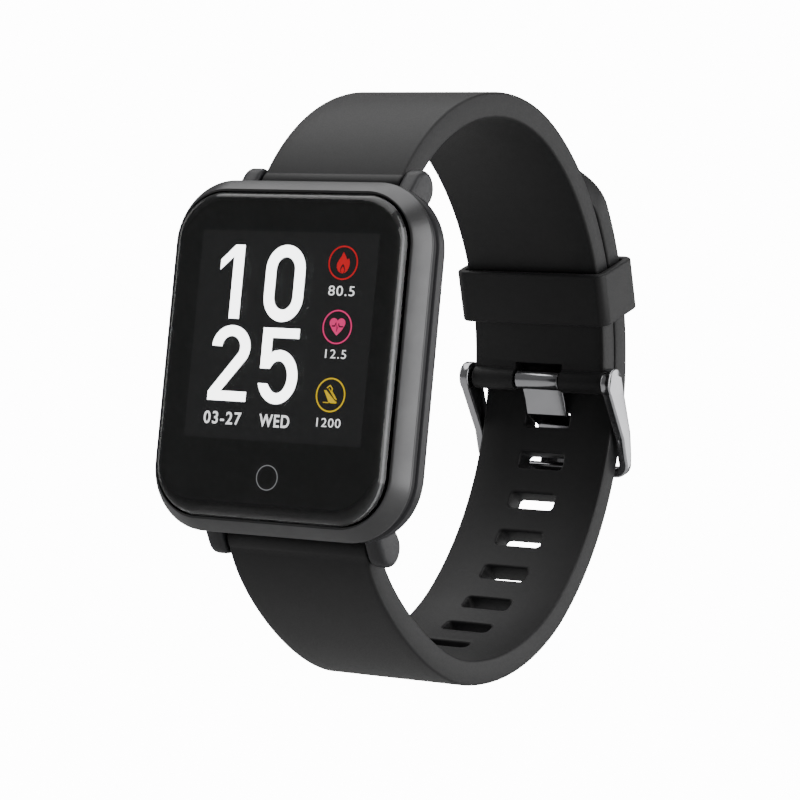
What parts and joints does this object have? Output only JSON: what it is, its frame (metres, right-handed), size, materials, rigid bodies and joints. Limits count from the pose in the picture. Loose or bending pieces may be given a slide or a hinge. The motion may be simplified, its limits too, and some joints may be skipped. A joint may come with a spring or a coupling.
{
  "type": "smartwatch",
  "caption": "Square touch-screen smartwatch with lugs, sprung strap bars and a silicone strap closed by a pin buckle and keeper loop.",
  "frame": {"origin": "centre of the sensor window's flat face on the back of the case", "axes": "+Z towards 12 o'clock, +X to the viewer's right, +Y out of the case back towards the wrist; the display faces -Y"},
  "size_m": [0.034, 0.069, 0.0699],
  "materials": {
    "cover_glass": "black printed touch glass with a polished domed rim",
    "bezel_metal": "dark grey satin metallic coating",
    "case_plastic": "charcoal moulded plastic, satin",
    "sensor_window": "smoked, polished",
    "gold_contact": "gold-plated, polished",
    "screw_steel": "plain steel",
    "adhesive": "black foam tape",
    "gasket": "soft black seal",
    "display_panel": "dark liquid-crystal panel",
    "flex_film": "amber polyimide",
    "copper_pad": "bare copper",
    "circuit_board": "green solder mask",
    "inner_steel": "tinned steel",
    "battery_pouch": "foil pouch",
    "led_lens": "clear green",
    "photodiode": "bare silicon",
    "bar_steel": "turned steel",
    "silicone": "charcoal matt silicone with a soft sheen",
    "buckle_steel": "polished"
  },
  "bodies": {
    "case": {"cover_glass": "cover_glass", "front_bezel": "bezel_metal", "mid_case": "case_plastic", "rear_cover": "case_plastic", "sensor_window": "sensor_window", "charge_contact_1": "gold_contact", "charge_contact_2": "gold_contact", "back_screw_1": "screw_steel", "back_screw_2": "screw_steel", "back_screw_3": "screw_steel", "back_screw_4": "screw_steel", "glass_adhesive": "adhesive", "case_gasket": "gasket", "display_module": "display_panel", "display_flex": "flex_film", "touch_key_pad": "copper_pad", "main_board": "circuit_board", "processor_shield": "inner_steel", "battery": "battery_pouch", "vibration_motor": "inner_steel", "sensor_board": "circuit_board", "sensor_led": "led_lens", "photodiode_1": "photodiode", "photodiode_2": "photodiode", "spring_bar_upper_tube": "bar_steel", "spring_bar_upper_spring": "bar_steel", "spring_bar_lower_tube": "bar_steel", "spring_bar_lower_spring": "bar_steel"},
    "upper_tip_left": {"spring_bar_upper_tip_left": "bar_steel"},
    "upper_tip_right": {"spring_bar_upper_tip_right": "bar_steel"},
    "lower_tip_left": {"spring_bar_lower_tip_left": "bar_steel"},
    "lower_tip_right": {"spring_bar_lower_tip_right": "bar_steel"},
    "upper_strap": {"strap_upper": "silicone"},
    "lower_strap": {"strap_lower": "silicone"},
    "keeper": {"keeper_loop": "silicone"},
    "buckle": {"buckle_frame": "buckle_steel", "buckle_pin": "buckle_steel"},
    "tongue": {"buckle_tongue": "buckle_steel"}
  },
  "joints": [
    {"name": "lower_strap_hinge", "type": "hinge", "parent": "case", "child": "lower_strap", "pos_m": [0, -0.0013, -0.02015], "axis": [-1, 0, 0], "range_deg": [0, 76], "deforming": ["strap_lower"]},
    {"name": "upper_strap_hinge", "type": "hinge", "parent": "case", "child": "upper_strap", "pos_m": [0, -0.0013, 0.02015], "axis": [1, 0, 0], "range_deg": [0, 38]},
    {"name": "keeper_slide", "type": "hinge", "parent": "upper_strap", "child": "keeper", "pos_m": [0, 0.018, 0.0007], "axis": [1, 0, 0], "range_deg": [-9, 18]},
    {"name": "buckle_hinge", "type": "hinge", "parent": "upper_strap", "child": "buckle", "pos_m": [0, 0.05047, 0.00357], "axis": [1, 0, 0], "range_deg": [0, 38]},
    {"name": "tongue_hinge", "type": "hinge", "parent": "buckle", "child": "tongue", "pos_m": [0, 0.05047, 0.00357], "axis": [1, 0, 0], "range_deg": [0, 15.2]},
    {"name": "upper_tip_left_slide", "type": "slide", "parent": "case", "child": "upper_tip_left", "axis": [1, 0, 0], "range_m": [0, 0.001], "stiffness_N_per_m": 800, "deforming": ["spring_bar_upper_spring"]},
    {"name": "upper_tip_right_slide", "type": "slide", "parent": "case", "child": "upper_tip_right", "axis": [-1, 0, 0], "range_m": [0, 0.001], "stiffness_N_per_m": 800},
    {"name": "lower_tip_left_slide", "type": "slide", "parent": "case", "child": "lower_tip_left", "axis": [1, 0, 0], "range_m": [0, 0.001], "stiffness_N_per_m": 800, "deforming": ["spring_bar_lower_spring"]},
    {"name": "lower_tip_right_slide", "type": "slide", "parent": "case", "child": "lower_tip_right", "axis": [-1, 0, 0], "range_m": [0, 0.001], "stiffness_N_per_m": 800}
  ],
  "couplings": [
    {"joint": "upper_strap_hinge", "follows": "lower_strap_hinge", "ratio": 0.5},
    {"joint": "buckle_hinge", "follows": "lower_strap_hinge", "ratio": 0.5},
    {"joint": "tongue_hinge", "follows": "lower_strap_hinge", "ratio": 0.2}
  ]
}
